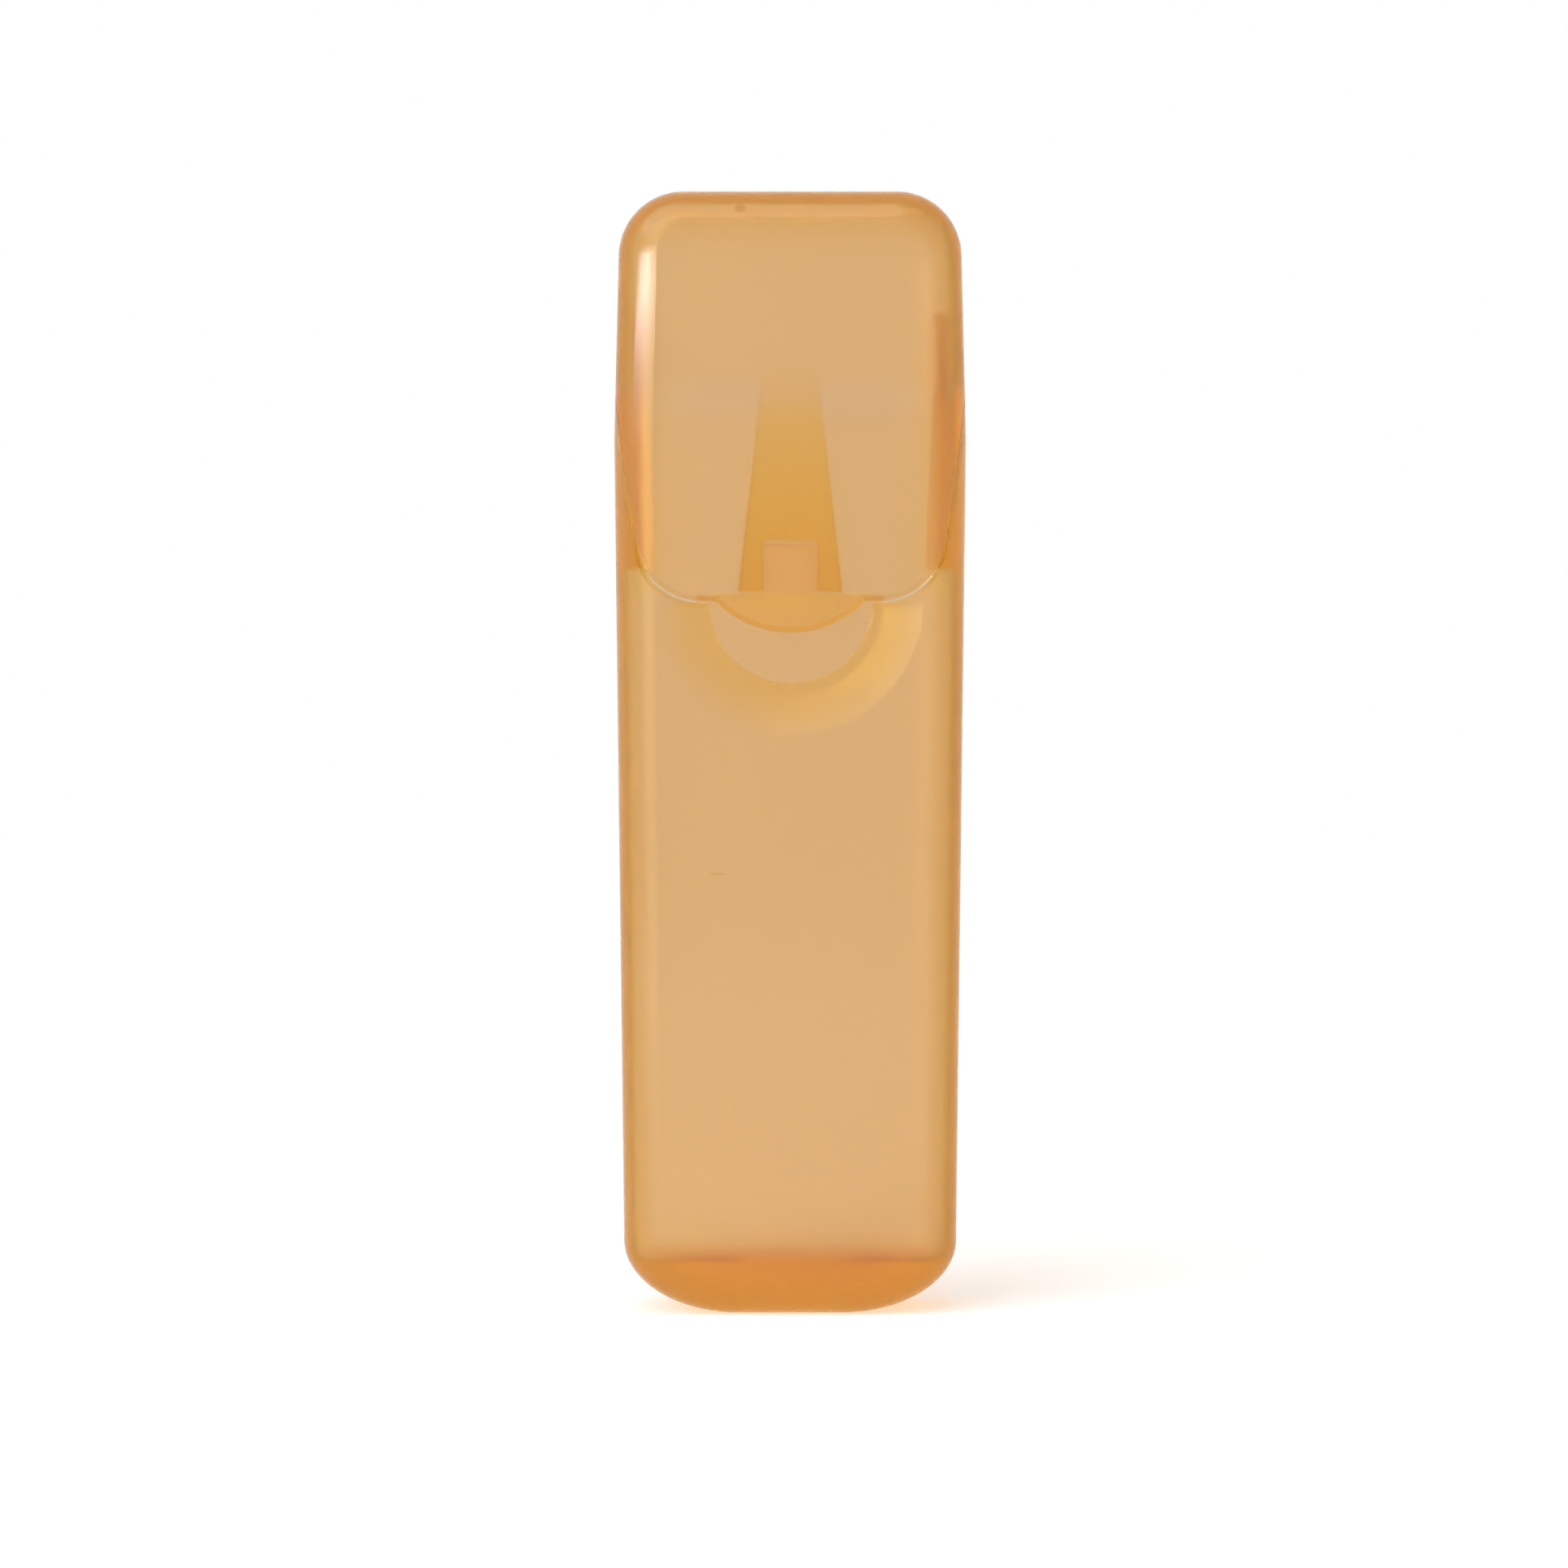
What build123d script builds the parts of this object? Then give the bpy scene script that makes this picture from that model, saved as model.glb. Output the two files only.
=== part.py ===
from build123d import *
import math
import os

# A pocket toothpick box of thin moulded plastic: a hollow case, a flip lid whose front flap
# hangs over the case, and a film hinge along the back. Millimetres, +Z up, front towards -Y,
# origin in the middle of the flat underside.

# Outside form
HEIGHT = 86.0
WIDTH = 27.0  # at the waist, where the box is widest
DEPTH = 14.0
LID_LEAN = 0.33  # in on each side, from the waist up to the top corners
CASE_LEAN = 0.75  # in on each side, from the waist down to the bottom corners
FOOT_FLAT = 8.0  # width of the flat underside that the box stands on
FOOT_CORNER = 5.6  # height of the rounded bottom corners
TOP_CORNER = 5.0
EDGE_ROUND = 3.0  # rolls the sides, top and underside into the front and back
LEAST_ROUND = 0.4  # smallest rounding left on an inner face

# Walls and fits
WALL = 1.1
FLOOR = 4.0
FLOOR_ROUND = 1.5  # from the floor up into the inner faces of the walls
SEAM_GAP = 0.2  # between the edges of the lid and of the case
SLIP_GAP = 0.2  # between the lid's inner faces and what stands inside them
CATCH_GAP = 0.08  # each side of the catch tongue in its notch
EASE_DEPTH = 0.45  # of the eased outer edges along the flap's foot
EASE_ANGLE = 38.0  # degrees that they lean back

# Lid and its front flap
LID_HEIGHT = 15.0  # from the side seam to the top
WAIST_DROP = 4.0  # from the side seam down to the waist
FLAP_DROP = 16.5  # from the side seam down to the flap's lower edge
FLAP_LEAN = 2.3  # in on each side, from the side seam down to the flap's lower edge
FLAP_CORNER = 5.2
TAB_WIDTH = 11.4
TAB_DROP = 2.4

# Catch: a ramped boss in the flap, notched for a tongue on the case
BOSS_HEIGHT = 17.4
BOSS_TOP_WIDTH = 4.0
BOSS_FOOT_WIDTH = 8.0
BOSS_DEPTH = 5.2  # at its foot, running out to nothing at its top
NOTCH_WIDTH = 4.0
NOTCH_HEIGHT = 3.9

# Thumb scoop under the tab
SCOOP_RADIUS = 6.5
SCOOP_DRAFT = 12.0  # degrees that its rim leans out
SCOOP_WALL = 0.95
SCOOP_SKIRT = 3.0  # round its back, where the dish runs out into the front wall
RIM_RISE = 0.5  # of the scoop's straight rim above the flap's lower edge

# Cheeks inside the lid
CHEEK_WALL = 0.8
CHEEK_RISE = 6.0  # above the side seam
CHEEK_DROP = 14.0  # below the side seam
CHEEK_WRAP = 3.15  # in from the box's side at their foot, round the corners
CHEEK_LEAN = 0.85  # less of that at their top
CHEEK_CORNER = 2.0  # rounds their front corner at the top

# Film hinge
HINGE_WIDTH = 17.0
HINGE_LENGTH = 1.4
HINGE_FILM = 0.4  # thickness where it joins the case and the lid
HINGE_WEB = 0.25  # thickness along its middle, where it bends

# Places worked out from the sizes above
SEAM = HEIGHT - LID_HEIGHT
WAIST = SEAM - WAIST_DROP
PIVOT = SEAM - SEAM_GAP / 2
FLAP_FOOT = SEAM - FLAP_DROP
TAB_ROOT = FLAP_FOOT + TAB_DROP
EASE_TOP = SEAM - FLAP_DROP / 2
FRONT = -DEPTH / 2
BACK = DEPTH / 2
FLAP_BACK = FRONT + EDGE_ROUND
INNER_FRONT = FRONT + WALL
SLIP_FACE = INNER_FRONT + SLIP_GAP
RIM = FLAP_FOOT + RIM_RISE
BOSS_FOOT = RIM + SEAM_GAP
REACH = 2 * HEIGHT


def outline(inset):
    """The box from the front, drawn in by inset all round."""
    waist = WIDTH / 2 - inset
    foot = waist - CASE_LEAN
    shoulder = waist - LID_LEAN
    corner = TOP_CORNER - inset
    flat = FOOT_FLAT / 2
    top = HEIGHT - inset
    underside = Line((0, inset), (flat, inset))
    foot_corner = EllipticalCenterArc((flat, FOOT_CORNER), foot - flat, FOOT_CORNER - inset, 270, arc_size=90)
    lower_side = Line((foot, FOOT_CORNER), (waist, WAIST))
    upper_side = Line((waist, WAIST), (shoulder, top - corner))
    top_corner = CenterArc((shoulder - corner, top - corner), corner, 0, 90)
    crown = Line((shoulder - corner, top), (0, top))
    right = Curve() + [underside, foot_corner, lower_side, upper_side, top_corner, crown]
    return make_face((right + mirror(right, Plane.YZ)).edges())


def form(inset):
    """The closed box as one block with rolled edges, drawn in by inset all round."""
    block = extrude(Plane.XZ * outline(inset), amount=DEPTH / 2 - inset, both=True)
    faces = block.faces().sort_by(Axis.Y)
    rims = faces[0].edges() + faces[-1].edges()
    return fillet(rims, max(EDGE_ROUND - inset, LEAST_ROUND))


def slab(width, low, high, front, back):
    """A block across the middle, from low to high and from front to back."""
    middle = Location((0, (front + back) / 2, (low + high) / 2))
    return middle * Box(width, back - front, high - low)


def flap_outline(gap):
    """The front flap's U, grown by gap at its foot and meeting the sides gap below the seam."""
    half_top = WIDTH / 2
    half_foot = half_top - FLAP_LEAN + gap
    apron = make_face(
        Polyline(
            (-half_top, SEAM - gap),
            (-half_foot, FLAP_FOOT - gap),
            (half_foot, FLAP_FOOT - gap),
            (half_top, SEAM - gap),
            close=True,
        )
    )
    return fillet(apron.vertices().sort_by(Axis.Y)[:2], FLAP_CORNER + gap)


def tab_outline():
    """The thumb tab: a shallow arc under the flap's lower edge, with its root in the flap."""
    half = TAB_WIDTH / 2
    root = Polyline((half, FLAP_FOOT), (half, TAB_ROOT), (-half, TAB_ROOT), (-half, FLAP_FOOT))
    arc = ThreePointArc((-half, FLAP_FOOT), (0, FLAP_FOOT - TAB_DROP), (half, FLAP_FOOT))
    return make_face((Curve() + [root, arc]).edges())


def lid_zone(gap):
    """Everything that belongs to the lid, grown by gap: all above the seam, and the flap."""
    above = slab(REACH, SEAM - gap, REACH, -REACH, REACH)
    flap = extrude(Plane.XZ * flap_outline(gap), amount=REACH)
    flap = flap & slab(REACH, -REACH, REACH, -REACH, FLAP_BACK + gap)
    return above + flap


def eased(face, lean):
    """A front outline as a block through the eased depth, leaning in towards the front by lean degrees."""
    return extrude(Plane.XZ.offset(-FRONT - EASE_DEPTH) * face, amount=EASE_DEPTH, taper=lean)


# Shared blocks
outside = form(0)
cavity = form(WALL) & slab(REACH, FLOOR, REACH, -REACH, REACH)
cavity = fillet(cavity.faces().sort_by(Axis.Z)[0].edges(), FLOOR_ROUND)
slip_form = form(WALL + SLIP_GAP)
shell = outside - cavity
foot_of_front = slab(REACH, -REACH, EASE_TOP, FRONT, FRONT + EASE_DEPTH)
film_foot = PIVOT - HINGE_LENGTH / 2
film_head = PIVOT + HINGE_LENGTH / 2
hinge_slot = slab(HINGE_WIDTH + 2 * SLIP_GAP, film_foot, film_head, BACK - WALL - SLIP_GAP, REACH)

# Lid: the top of the shell, the flap, the tab and the catch boss
lid = shell & lid_zone(0)
lid += extrude(Plane.XZ.offset(-FRONT) * tab_outline(), amount=-WALL)
lid -= foot_of_front - eased(flap_outline(0), EASE_ANGLE) - eased(tab_outline(), EASE_ANGLE)

boss_top = BOSS_FOOT + BOSS_HEIGHT
ramp = make_face(
    Polyline(
        (INNER_FRONT - WALL / 2, BOSS_FOOT),
        (INNER_FRONT + BOSS_DEPTH, BOSS_FOOT),
        (INNER_FRONT, boss_top),
        (INNER_FRONT - WALL / 2, boss_top),
        close=True,
    )
)
spread = make_face(
    Polyline(
        (-BOSS_FOOT_WIDTH / 2, BOSS_FOOT),
        (BOSS_FOOT_WIDTH / 2, BOSS_FOOT),
        (BOSS_TOP_WIDTH / 2, boss_top),
        (-BOSS_TOP_WIDTH / 2, boss_top),
        close=True,
    )
)
boss = extrude(Plane.YZ * ramp, amount=BOSS_FOOT_WIDTH, both=True)
boss = boss & extrude(Plane.XZ * spread, amount=REACH, both=True)
boss -= slab(NOTCH_WIDTH, BOSS_FOOT - NOTCH_HEIGHT, BOSS_FOOT + NOTCH_HEIGHT, INNER_FRONT, REACH)
lid += boss
lid -= hinge_slot

# Case: the rest of the shell, with what stands inside the lid and the thumb scoop
case_cut = lid_zone(SEAM_GAP)
case = shell - case_cut - (foot_of_front & eased(flap_outline(SEAM_GAP), -EASE_ANGLE))

# The cheeks line the sides, and end on an arc about the hinge so that the lid's front clears them
cheek_foot = SEAM - CHEEK_DROP
cheek_top = SEAM + CHEEK_RISE
mouth_foot = WIDTH / 2 - CHEEK_WRAP
mouth_top = mouth_foot + CHEEK_LEAN
mouth = make_face(
    Polyline(
        (-mouth_foot, cheek_foot),
        (mouth_foot, cheek_foot),
        (mouth_top, cheek_top),
        (-mouth_top, cheek_top),
        close=True,
    )
)
standing = Pos(BACK, PIVOT) * Circle(DEPTH - EDGE_ROUND)
standing = standing & Pos(0, (PIVOT + cheek_top) / 2) * Rectangle(DEPTH, cheek_top - PIVOT)
standing = fillet(standing.vertices().group_by(Axis.Y)[-1].sort_by(Axis.X)[:1], CHEEK_CORNER)
cheeks = form(WALL) - form(WALL + SLIP_GAP + CHEEK_WALL)
cheeks = cheeks & slab(REACH, cheek_foot, cheek_top, -REACH, REACH)
cheeks -= extrude(Plane.XZ * mouth, amount=REACH, both=True)
cheeks -= slab(REACH, PIVOT, REACH, -REACH, REACH) - extrude(Plane.YZ * standing, amount=REACH, both=True)

# The scoop is dished into the front wall, with a skirt round its back that runs out into that wall.
# The catch tongue stands on its straight rim.
scoop_depth = SLIP_FACE - FRONT
scoop_floor = SCOOP_RADIUS - scoop_depth * math.tan(math.radians(SCOOP_DRAFT))
scoop_back = SLIP_FACE + SCOOP_WALL
dish_place = Location((0, (INNER_FRONT + scoop_back) / 2, FLAP_FOOT), (-90, 0, 0))
dish_radius = scoop_floor + SCOOP_WALL
dish = dish_place * Cylinder(dish_radius, scoop_back - INNER_FRONT)
dish = dish & slab(REACH, -REACH, RIM, -REACH, REACH)
skirt = dish_place * Cone(dish_radius + SCOOP_SKIRT, dish_radius, scoop_back - INNER_FRONT)
skirt = skirt & slab(REACH, -REACH, FLAP_FOOT - SEAM_GAP, -REACH, REACH)
tongue_width = NOTCH_WIDTH - 2 * CATCH_GAP
tongue_top = BOSS_FOOT + NOTCH_HEIGHT - SLIP_GAP
tongue = slab(tongue_width, FLAP_FOOT - SEAM_GAP, tongue_top, SLIP_FACE, scoop_back)
fittings = cheeks + dish + skirt + tongue
case += fittings - (case_cut - slip_form)
case -= Location((0, (FRONT + SLIP_FACE) / 2, FLAP_FOOT), (-90, 0, 0)) * Cone(
    SCOOP_RADIUS, scoop_floor, scoop_depth
)
case -= hinge_slot

# Film hinge: a thin strip flush with the back, from the case's edge to the lid's, with a hollow inner face
film_root = BACK - HINGE_FILM
flush = Polyline((film_root, film_foot), (BACK, film_foot), (BACK, film_head), (film_root, film_head))
hollow = ThreePointArc((film_root, film_head), (BACK - HINGE_WEB, PIVOT), (film_root, film_foot))
film = make_face((Curve() + [flush, hollow]).edges())
living_hinge = extrude(Plane.YZ * film, amount=HINGE_WIDTH / 2, both=True)

os.makedirs("parts", exist_ok=True)
for name, piece in {"case": case, "lid": lid, "living_hinge": living_hinge}.items():
    export_step(piece, f"parts/{name}.step")
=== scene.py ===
import math

import bmesh
import bpy
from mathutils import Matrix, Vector


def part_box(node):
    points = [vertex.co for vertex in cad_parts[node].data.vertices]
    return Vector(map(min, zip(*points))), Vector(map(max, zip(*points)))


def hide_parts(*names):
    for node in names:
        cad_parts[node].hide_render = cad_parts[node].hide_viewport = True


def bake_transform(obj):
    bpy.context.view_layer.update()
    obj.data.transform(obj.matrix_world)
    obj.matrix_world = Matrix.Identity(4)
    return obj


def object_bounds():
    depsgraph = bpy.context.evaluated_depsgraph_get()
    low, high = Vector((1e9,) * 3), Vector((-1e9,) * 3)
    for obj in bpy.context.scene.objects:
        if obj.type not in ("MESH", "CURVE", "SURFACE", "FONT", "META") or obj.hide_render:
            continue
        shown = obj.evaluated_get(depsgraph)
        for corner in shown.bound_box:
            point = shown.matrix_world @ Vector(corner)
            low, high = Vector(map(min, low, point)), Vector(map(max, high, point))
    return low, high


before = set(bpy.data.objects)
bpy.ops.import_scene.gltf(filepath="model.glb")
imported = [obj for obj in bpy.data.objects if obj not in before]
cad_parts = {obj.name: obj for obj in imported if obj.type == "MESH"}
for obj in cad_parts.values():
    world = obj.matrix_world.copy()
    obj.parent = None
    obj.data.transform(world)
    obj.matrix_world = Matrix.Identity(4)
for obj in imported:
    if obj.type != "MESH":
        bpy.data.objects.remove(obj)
cad_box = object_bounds()


# Case: the hollow body, moulded in translucent orange polypropylene with a thin glossy skin.
# Its walls are a little hazy, so what lies behind shows softly and thick places are deeper orange.
# Two thin cheeks and the catch tongue stand up from it inside the lid; a warmer tint on them is a painted
# glow, for light scattered orange in the extra layers of plastic there.
class Wire:
    """A socket of a node tree. Plain maths on it adds Math nodes, and node() adds any other node."""

    def __init__(self, socket):
        self.socket = socket

    def node(self, kind, settings, inputs, output=0):
        """An output of a new node, whose settings are made before its inputs are set or linked."""
        tree = self.socket.id_data
        made = tree.nodes.new(kind)
        for name, value in settings.items():
            setattr(made, name, value)
        for name, value in inputs.items():
            if isinstance(value, Wire):
                tree.links.new(value.socket, made.inputs[name])
            else:
                made.inputs[name].default_value = value
        return Wire(made.outputs[output])

    def maths(self, operation, *values):
        return self.node("ShaderNodeMath", {"operation": operation}, dict(enumerate(values)))

    def __add__(self, other):
        return self.maths("ADD", self, other)

    def __sub__(self, other):
        return self.maths("SUBTRACT", self, other)

    def __rsub__(self, other):
        return self.maths("SUBTRACT", other, self)

    def __mul__(self, other):
        return self.maths("MULTIPLY", self, other)

    __radd__ = __add__
    __rmul__ = __mul__

    def larger(self, other):
        return self.maths("MAXIMUM", self, other)

    def noise(self, size, stretch=(1, 1, 1), detail=2):
        """Soft noise from 0 to 1 with blotches about size across, drawn out along the axes by stretch."""
        scale = [1 / (size * s) for s in stretch]
        place = self.node("ShaderNodeMapping", {}, {"Vector": self, "Scale": scale})
        return place.node("ShaderNodeTexNoise", {}, {"Vector": place, "Scale": 1, "Detail": detail})

    def between(self, low, high):
        """0 below low, 1 above high, and a smooth rise from one to the other."""
        settings = {"interpolation_type": "SMOOTHSTEP"}
        return self.node("ShaderNodeMapRange", settings, {"Value": self, "From Min": low, "From Max": high})

    def within(self, low, high, soft):
        """1 from low to high, falling to 0 over the length soft beyond each."""
        return self.between(low - soft, low) * (1 - self.between(high, high + soft))

    def mix(self, first, second):
        """The first colour where this value is 0, and the second where it is 1."""
        # The node has an A, a B and a Result for each kind of data, so those for colours go by number.
        inputs = {"Factor": self, 6: first, 7: second}
        return self.node("ShaderNodeMix", {"data_type": "RGBA"}, inputs, output=2)

    def spot(self, centre, half_sizes, core=0.4):
        """1 in the core of an ellipsoid of those half sizes round a point, falling to 0 at its surface."""
        inputs = {"Vector": self, "Location": centre, "Scale": half_sizes}
        moved = self.node("ShaderNodeMapping", {"vector_type": "TEXTURE"}, inputs)
        reach = moved.node("ShaderNodeVectorMath", {"operation": "LENGTH"}, {0: moved}, output=1)
        return 1 - reach.between(core, 1)

    def axes(self):
        """The three numbers of a vector."""
        return [self.node("ShaderNodeSeparateXYZ", {}, {"Vector": self}, output=i) for i in range(3)]


MM = 0.001
PLASTIC_IOR = 1.15
CLARITY = 0.985
GLOSS_ROUGHNESS = 0.1
DYE_COLOUR = (1, 0.885, 0.02, 1)
DYE_DENSITY = 520


def orange_plastic(name):
    """A new orange plastic, as its material, its Principled shader and its Object coordinates."""
    material = bpy.data.materials.new(name)
    material.use_nodes = True
    tree = material.node_tree
    shader = tree.nodes["Principled BSDF"]
    shader.inputs["IOR"].default_value = PLASTIC_IOR
    shader.inputs["Transmission Weight"].default_value = CLARITY
    shader.inputs["Coat Roughness"].default_value = GLOSS_ROUGHNESS
    dye = tree.nodes.new("ShaderNodeVolumeAbsorption")
    dye.inputs["Color"].default_value = DYE_COLOUR
    dye.inputs["Density"].default_value = DYE_DENSITY
    tree.links.new(dye.outputs["Volume"], tree.nodes["Material Output"].inputs["Volume"])
    place = Wire(tree.nodes.new("ShaderNodeTexCoord").outputs["Object"])
    return material, shader, place


FLOW_SIZE = 14 * MM
FLOW_STRETCH = (1, 1, 3)
DEEP_TINT = (1.0, 0.81, 0.80, 1)
PALE_TINT = (1.0, 0.83, 0.84, 1)


def dyed(place):
    """The plastic's surface tint, a little uneven along the flow of the moulding."""
    return place.noise(FLOW_SIZE, FLOW_STRETCH).mix(DEEP_TINT, PALE_TINT)


MARK_COLOUR = (0.62, 0.44, 0.22, 1)
RUB_SIZE = 0.5 * MM
RUB_STRETCH = (1, 1, 9)
RUB_DETAIL = 4
RUB_LIMITS = (0.62, 0.78)
RUB_DEPTH = 0.05
RIPPLE_SIZE = 2.2 * MM
RIPPLE_HEIGHT = 0.5
GRAIN_SIZE = 0.25 * MM
GRAIN_HEIGHT = 0.06
RELIEF_HEIGHT = 0.1 * MM
RELIEF_STRENGTH = 0.12
HAZE_SIZE = 6 * MM
ROUGHNESS = 0.55
HAZE_ROUGHENS = 0.06
RUBS_ROUGHEN = 0.12
GLOSS = 0.75
RUBS_DULL = 0.35
MARKS_DULL = 0.4


def skin(shader, place, tint, marks):
    """Colour, gloss and fine relief of a moulded face, with its marks: values that are 1 on a blemish."""
    colour = marks.mix(tint, MARK_COLOUR)
    rubs = place.noise(RUB_SIZE, RUB_STRETCH, RUB_DETAIL).between(*RUB_LIMITS)
    roughness = ROUGHNESS + HAZE_ROUGHENS * place.noise(HAZE_SIZE) + RUBS_ROUGHEN * rubs
    gloss = GLOSS - RUBS_DULL * rubs - MARKS_DULL * marks
    ripple = RIPPLE_HEIGHT * place.noise(RIPPLE_SIZE)
    grain = GRAIN_HEIGHT * place.noise(GRAIN_SIZE)
    relief = ripple + grain - RUB_DEPTH * rubs - marks
    bump_inputs = {"Strength": RELIEF_STRENGTH, "Distance": RELIEF_HEIGHT, "Height": relief}
    bump = relief.node("ShaderNodeBump", {}, bump_inputs)
    links = shader.id_data.links
    links.new(colour.socket, shader.inputs["Base Color"])
    links.new(roughness.socket, shader.inputs["Roughness"])
    links.new(gloss.socket, shader.inputs["Coat Weight"])
    links.new(bump.socket, shader.inputs["Normal"])


def dress(node, material):
    """Gives a CAD node its material."""
    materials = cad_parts[node].data.materials
    materials.clear()
    materials.append(material)


# Painted glow: a warmer tint standing in for light scattered orange in the extra layers of plastic at the
# cheeks, the tongue, the tab and the boss.
PAINTED_GLOW_TINT = (1.0, 0.865, 0.69, 1)
TINT_BLUR = 0.4 * MM
EDGE_BLUR = 0.1 * MM
WALL_ROOM = 1.25 * MM
RIM_HEIGHT = 55.2 * MM
TONGUE_FOOT = 54 * MM
TONGUE_HALF = 3 * MM
SCRATCH_ACROSS = -5.5 * MM
SCRATCH_HEIGHT = 33.7 * MM
SCRATCH_HALF_SIZES = (0.9 * MM, 0.3 * MM, 0.12 * MM)
SCRATCH_STRENGTH = 0.5
case_low, case_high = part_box("case")
case_plastic, case_shader, case_place = orange_plastic("case_plastic")
across, deep, up = case_place.axes()
side = case_high.x - WALL_ROOM
face = case_high.y - WALL_ROOM
inside = across.within(-side, side, EDGE_BLUR) * deep.within(-face, face, EDGE_BLUR)
cheeks = inside * up.between(RIM_HEIGHT - TINT_BLUR, RIM_HEIGHT)
tongue_plan = inside * across.within(-TONGUE_HALF, TONGUE_HALF, TINT_BLUR)
tongue = tongue_plan * up.between(TONGUE_FOOT - TINT_BLUR, TONGUE_FOOT)
# The cheeks and the tongue get the painted glow tint over the dyed walls.
case_dye_and_glow = tongue.larger(cheeks).mix(dyed(case_place), PAINTED_GLOW_TINT)
scratch = case_place.spot((SCRATCH_ACROSS, case_low.y, SCRATCH_HEIGHT), SCRATCH_HALF_SIZES)
skin(case_shader, case_place, case_dye_and_glow, SCRATCH_STRENGTH * scratch)
dress("case", case_plastic)

# Lid: the hollow cap with its front flap, moulded in the same plastic as the case.
# Its thumb tab and the catch boss inside the flap get the same painted glow, and a painted shade makes the
# band under its top edge deeper orange, where the thick top wall is seen edge-on.
# A small pip on its top front rounding is what is left of the gate that filled the mould.
TAB_TOP = 54.9 * MM
TAB_HALF = 6 * MM
BOSS_HALF = 4.2 * MM
BOSS_FRONT = -5.7 * MM
BOSS_BACK = 0
BOSS_FADE = (59 * MM, 68 * MM)
# Painted shade: a deeper orange band under the lid's top edge, standing in for the thick top wall seen
# edge-on.
PAINTED_TOP_SHADE = (1.0, 0.78, 0.62, 1)
BAND_FOOT = 2.1 * MM
BAND_HEAD = 0.9 * MM
PIP_ACROSS = -3.8 * MM
PIP_BACK = 0.35 * MM
PIP_DOWN = 1.6 * MM
PIP_HALF_SIZES = (0.55 * MM, 0.6 * MM, 0.5 * MM)
PIP_STRENGTH = 0.8
lid_low, lid_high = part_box("lid")
lid_plastic, lid_shader, lid_place = orange_plastic("lid_plastic")
lid_across, lid_deep, lid_up = lid_place.axes()
tab_plan = lid_across.within(-TAB_HALF, TAB_HALF, TINT_BLUR)
tab = tab_plan * (1 - lid_up.between(TAB_TOP, TAB_TOP + TINT_BLUR))
boss_width = lid_across.within(-BOSS_HALF, BOSS_HALF, TINT_BLUR)
boss_plan = boss_width * lid_deep.within(BOSS_FRONT, BOSS_BACK, EDGE_BLUR)
boss = boss_plan * (1 - lid_up.between(*BOSS_FADE))
top_shade = lid_up.within(lid_high.z - BAND_FOOT, lid_high.z - BAND_HEAD, TINT_BLUR)
# The lid's colour is its dye with the painted glow on the tab and the boss and the painted shade under the
# top edge.
lid_dye_glow_and_shade = top_shade.mix(tab.larger(boss).mix(dyed(lid_place), PAINTED_GLOW_TINT), PAINTED_TOP_SHADE)
pip_centre = (PIP_ACROSS, lid_low.y + PIP_BACK, lid_high.z - PIP_DOWN)
pip = lid_place.spot(pip_centre, PIP_HALF_SIZES)
skin(lid_shader, lid_place, lid_dye_glow_and_shade, PIP_STRENGTH * pip)
dress("lid", lid_plastic)

# Living hinge: a thin film of the same plastic at the back, moulded as one with the case and the lid.
# It is thinnest along its middle line, where it bends when the lid swings back.
FILM_ROWS = 16
FILM_HOLLOW = 0.15 * MM
CREASE_SIZE = 0.3 * MM
CREASE_LIMITS = (0.6, 0.9)
CREASE_STRENGTH = 0.2
hinge_low, hinge_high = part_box("living_hinge")
film_middle = (hinge_low + hinge_high) / 2
film_shape = bmesh.new()
bmesh.ops.create_cube(film_shape, size=1)
bmesh.ops.scale(film_shape, vec=hinge_high - hinge_low, verts=film_shape.verts)
bmesh.ops.translate(film_shape, vec=film_middle, verts=film_shape.verts)
upright = [e for e in film_shape.edges if abs(e.verts[0].co.z - e.verts[1].co.z) > MM]
bmesh.ops.subdivide_edges(film_shape, edges=upright, cuts=FILM_ROWS - 1, use_grid_fill=True)
for vert in film_shape.verts:
    if vert.co.y < film_middle.y:
        from_middle = (vert.co.z - film_middle.z) / (hinge_high.z - film_middle.z)
        vert.co.y += FILM_HOLLOW * (1 - from_middle**2)
film_mesh = bpy.data.meshes.new("hinge_film")
film_shape.to_mesh(film_mesh)
film_shape.free()
film = bpy.data.objects.new("hinge_film", film_mesh)
bpy.context.scene.collection.objects.link(film)
film_plastic, film_shader, film_place = orange_plastic("film_plastic")
creases = film_place.noise(CREASE_SIZE).between(*CREASE_LIMITS)
skin(film_shader, film_place, dyed(film_place), CREASE_STRENGTH * creases)
film_mesh.materials.append(film_plastic)
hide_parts("living_hinge")
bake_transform(film)

# Floor: a wide pale sheet that the box stands on, and a plain surround.
# Seen directly both are white, and the floor keeps the box's shadow; through the plastic they are dimmer.
FLOOR_HALF = 3.0
FLOOR_COLOUR = (0.73, 0.73, 0.73, 1)
FLOOR_ROUGHNESS = 0.9
FLOOR_GLOW = 0.4
WHITE = (1, 1, 1, 1)
sheet = bmesh.new()
bmesh.ops.create_grid(sheet, x_segments=1, y_segments=1, size=FLOOR_HALF)
floor_mesh = bpy.data.meshes.new("floor")
sheet.to_mesh(floor_mesh)
sheet.free()
floor = bpy.data.objects.new("floor", floor_mesh)
bpy.context.scene.collection.objects.link(floor)


def seen(tree, direct, through):
    """Light that only shows: direct for the camera and in gloss, through for what is seen in the plastic."""
    path = tree.nodes.new("ShaderNodeLightPath")
    by_camera = Wire(path.outputs["Is Camera Ray"])
    in_gloss = Wire(path.outputs["Is Glossy Ray"])
    in_plastic = Wire(path.outputs["Is Transmission Ray"])
    return direct * by_camera.larger(in_gloss - in_plastic) + through * in_plastic


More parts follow.
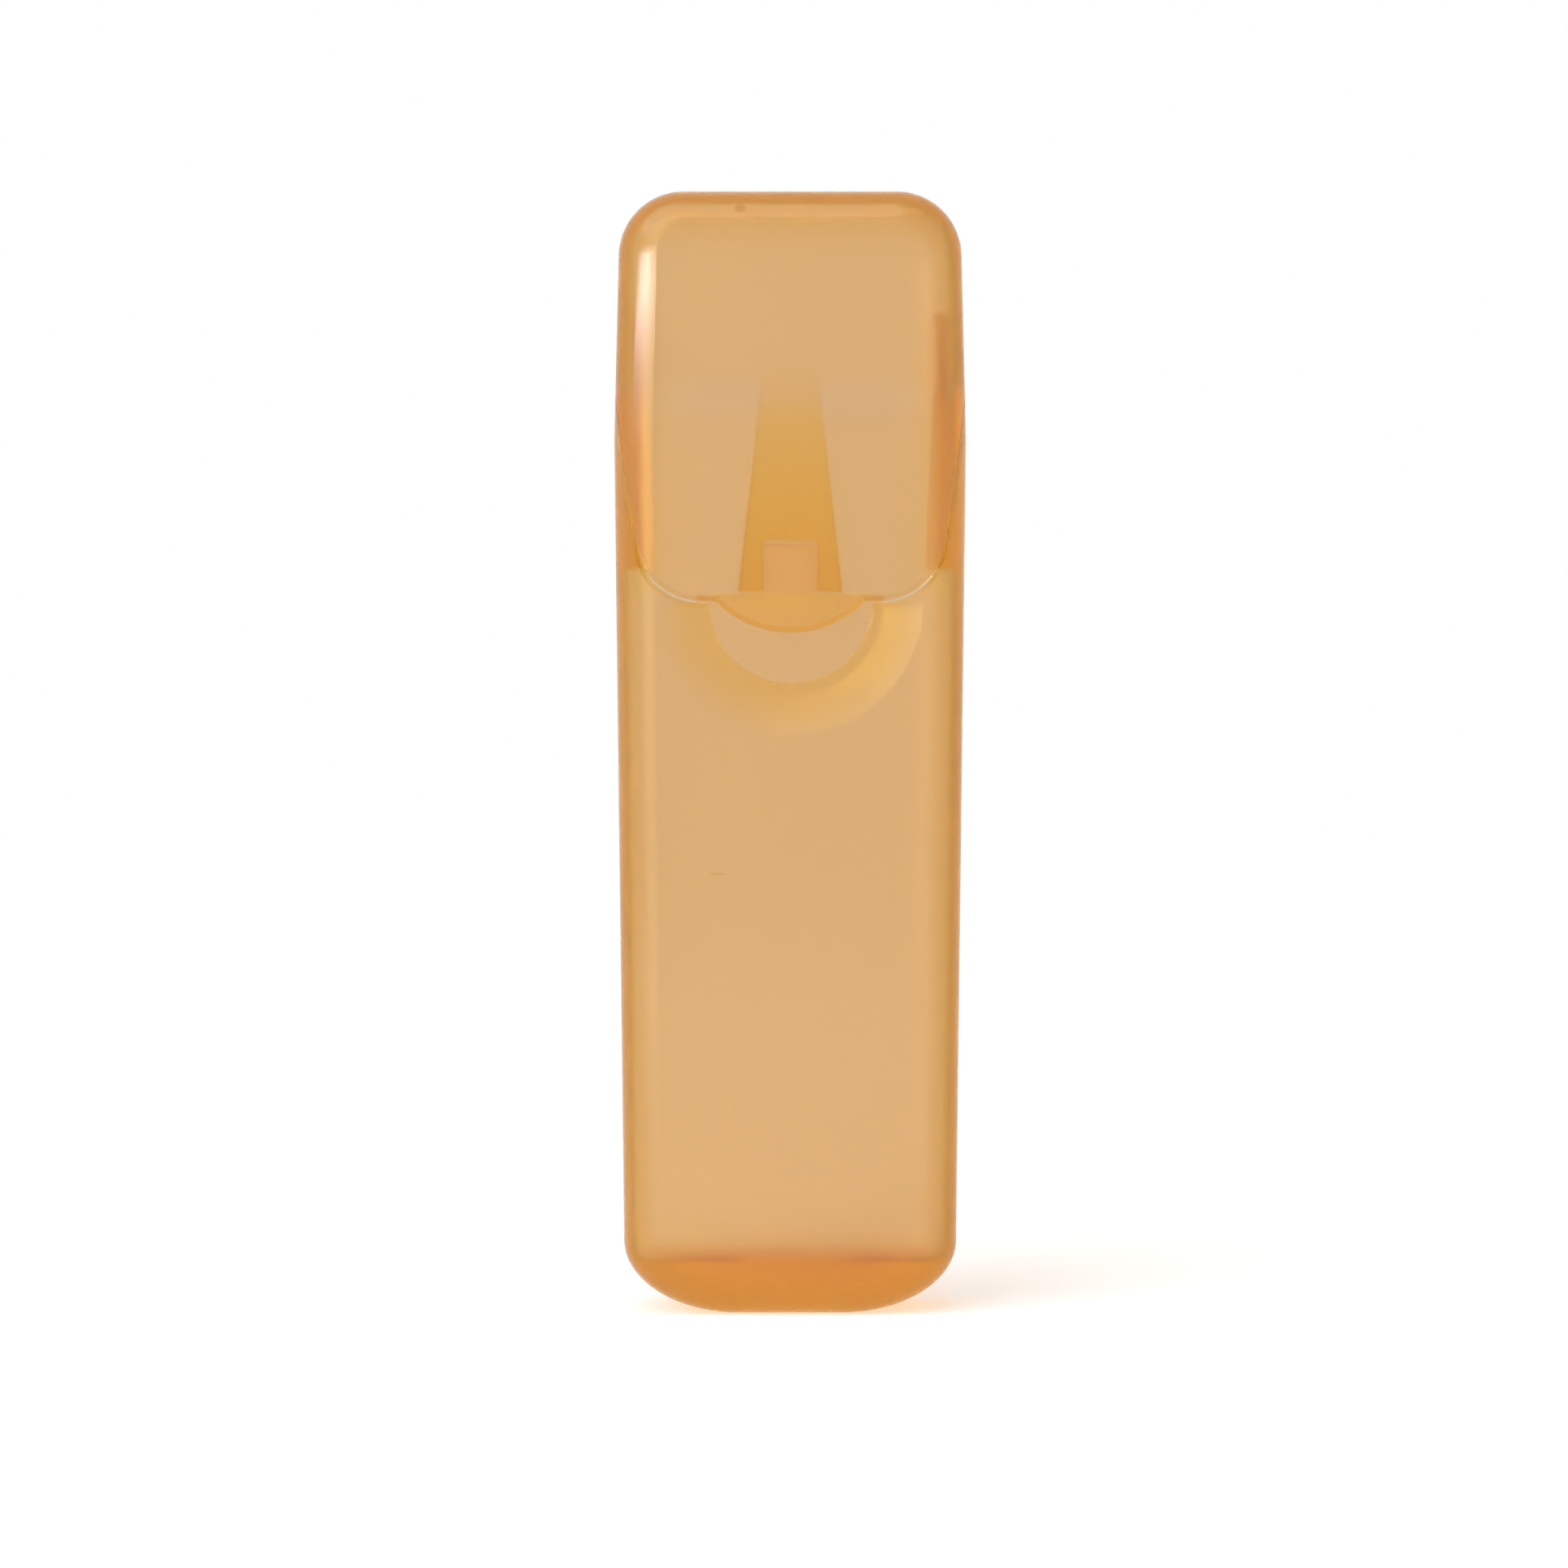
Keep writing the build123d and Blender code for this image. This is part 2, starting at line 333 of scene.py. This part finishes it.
floor_paint = bpy.data.materials.new("floor_paint")
floor_paint.use_nodes = True
floor_tree = floor_paint.node_tree
paint = floor_tree.nodes["Principled BSDF"]
paint.inputs["Base Color"].default_value = FLOOR_COLOUR
paint.inputs["Roughness"].default_value = FLOOR_ROUGHNESS
paint.inputs["Specular IOR Level"].default_value = 0
paint.inputs["Emission Color"].default_value = WHITE
floor_tree.links.new(seen(floor_tree, FLOOR_GLOW, 0).socket, paint.inputs["Emission Strength"])
floor_mesh.materials.append(floor_paint)

AMBIENT = 0.5
SEEN_DIRECTLY = 1.0
SEEN_THROUGH = 0.64
world = bpy.data.worlds.new("surround")
bpy.context.scene.world = world
world.use_nodes = True
surround = world.node_tree.nodes["Background"]
surround.inputs["Color"].default_value = WHITE
brightness = AMBIENT + seen(world.node_tree, SEEN_DIRECTLY - AMBIENT, SEEN_THROUGH - AMBIENT)
world.node_tree.links.new(brightness.socket, surround.inputs["Strength"])

# Lights: three weak strips of different length in one place at the front left, whose image on the lid's
# side is a short highlight with soft ends, and a wide lamp in the same place that fills without an image.
# A broad sky light comes from above the same side.
STRIP_LENGTHS = (0.3, 0.48, 0.64)
STRIP_WIDTH = 0.015
STRIP_WATTS = 0.36
FILL_WIDTH = 0.5
FILL_WATTS = 2.2
LAMP_BEARING = math.radians(35)
LAMP_DISTANCE = 0.6
LAMP_HEIGHT = 0.152
lamp_place = Vector((
    -LAMP_DISTANCE * math.sin(LAMP_BEARING),
    -LAMP_DISTANCE * math.cos(LAMP_BEARING),
    LAMP_HEIGHT,
))
box_middle = (cad_box[0] + cad_box[1]) / 2
lamp_turn = (box_middle - lamp_place).to_track_quat("-Z", "Y").to_euler()


def front_lamp(name, length, width, watts):
    """A lamp at the front left that faces the middle of the box, with its length level."""
    light = bpy.data.lights.new(name, "AREA")
    light.shape = "RECTANGLE"
    light.size = length
    light.size_y = width
    light.energy = watts
    lamp = bpy.data.objects.new(name, light)
    lamp.location = lamp_place
    lamp.rotation_euler = lamp_turn
    bpy.context.scene.collection.objects.link(lamp)
    return lamp


for number, strip_length in enumerate(STRIP_LENGTHS):
    front_lamp(f"strip_lamp_{number}", strip_length, STRIP_WIDTH, STRIP_WATTS)
fill_lamp = front_lamp("fill_lamp", FILL_WIDTH, FILL_WIDTH, FILL_WATTS)
fill_lamp.visible_glossy = False

SKY_STRENGTH = 1.4
SKY_SPREAD = math.radians(60)
SKY_TILT = math.radians(40)
sky = bpy.data.lights.new("sky_lamp", "SUN")
sky.energy = SKY_STRENGTH
sky.angle = SKY_SPREAD
sky_lamp = bpy.data.objects.new("sky_lamp", sky)
sky_lamp.rotation_euler = (SKY_TILT, 0, -LAMP_BEARING)
bpy.context.scene.collection.objects.link(sky_lamp)

# Camera: square to the front, a little below the box's middle, as the photograph was taken.
# Its lens gives the box the scale that it has in the photograph.
PHOTO_WIDTH = 1932
PIXELS_PER_MM = 15.87
SENSOR_WIDTH = 36
VIEW_DISTANCE = 0.35
VIEW_ACROSS = -0.47 * MM
VIEW_HEIGHT = 40.54 * MM
LEVEL = math.radians(90)
view_width = PHOTO_WIDTH / PIXELS_PER_MM * MM
camera_data = bpy.data.cameras.new("camera")
camera_data.sensor_width = SENSOR_WIDTH
camera_data.lens = SENSOR_WIDTH * VIEW_DISTANCE / view_width
camera = bpy.data.objects.new("camera", camera_data)
camera.location = (VIEW_ACROSS, -VIEW_DISTANCE, VIEW_HEIGHT)
camera.rotation_euler = (LEVEL, 0, 0)
bpy.context.scene.collection.objects.link(camera)
bpy.context.scene.camera = camera
bpy.context.scene.view_settings.view_transform = "Standard"
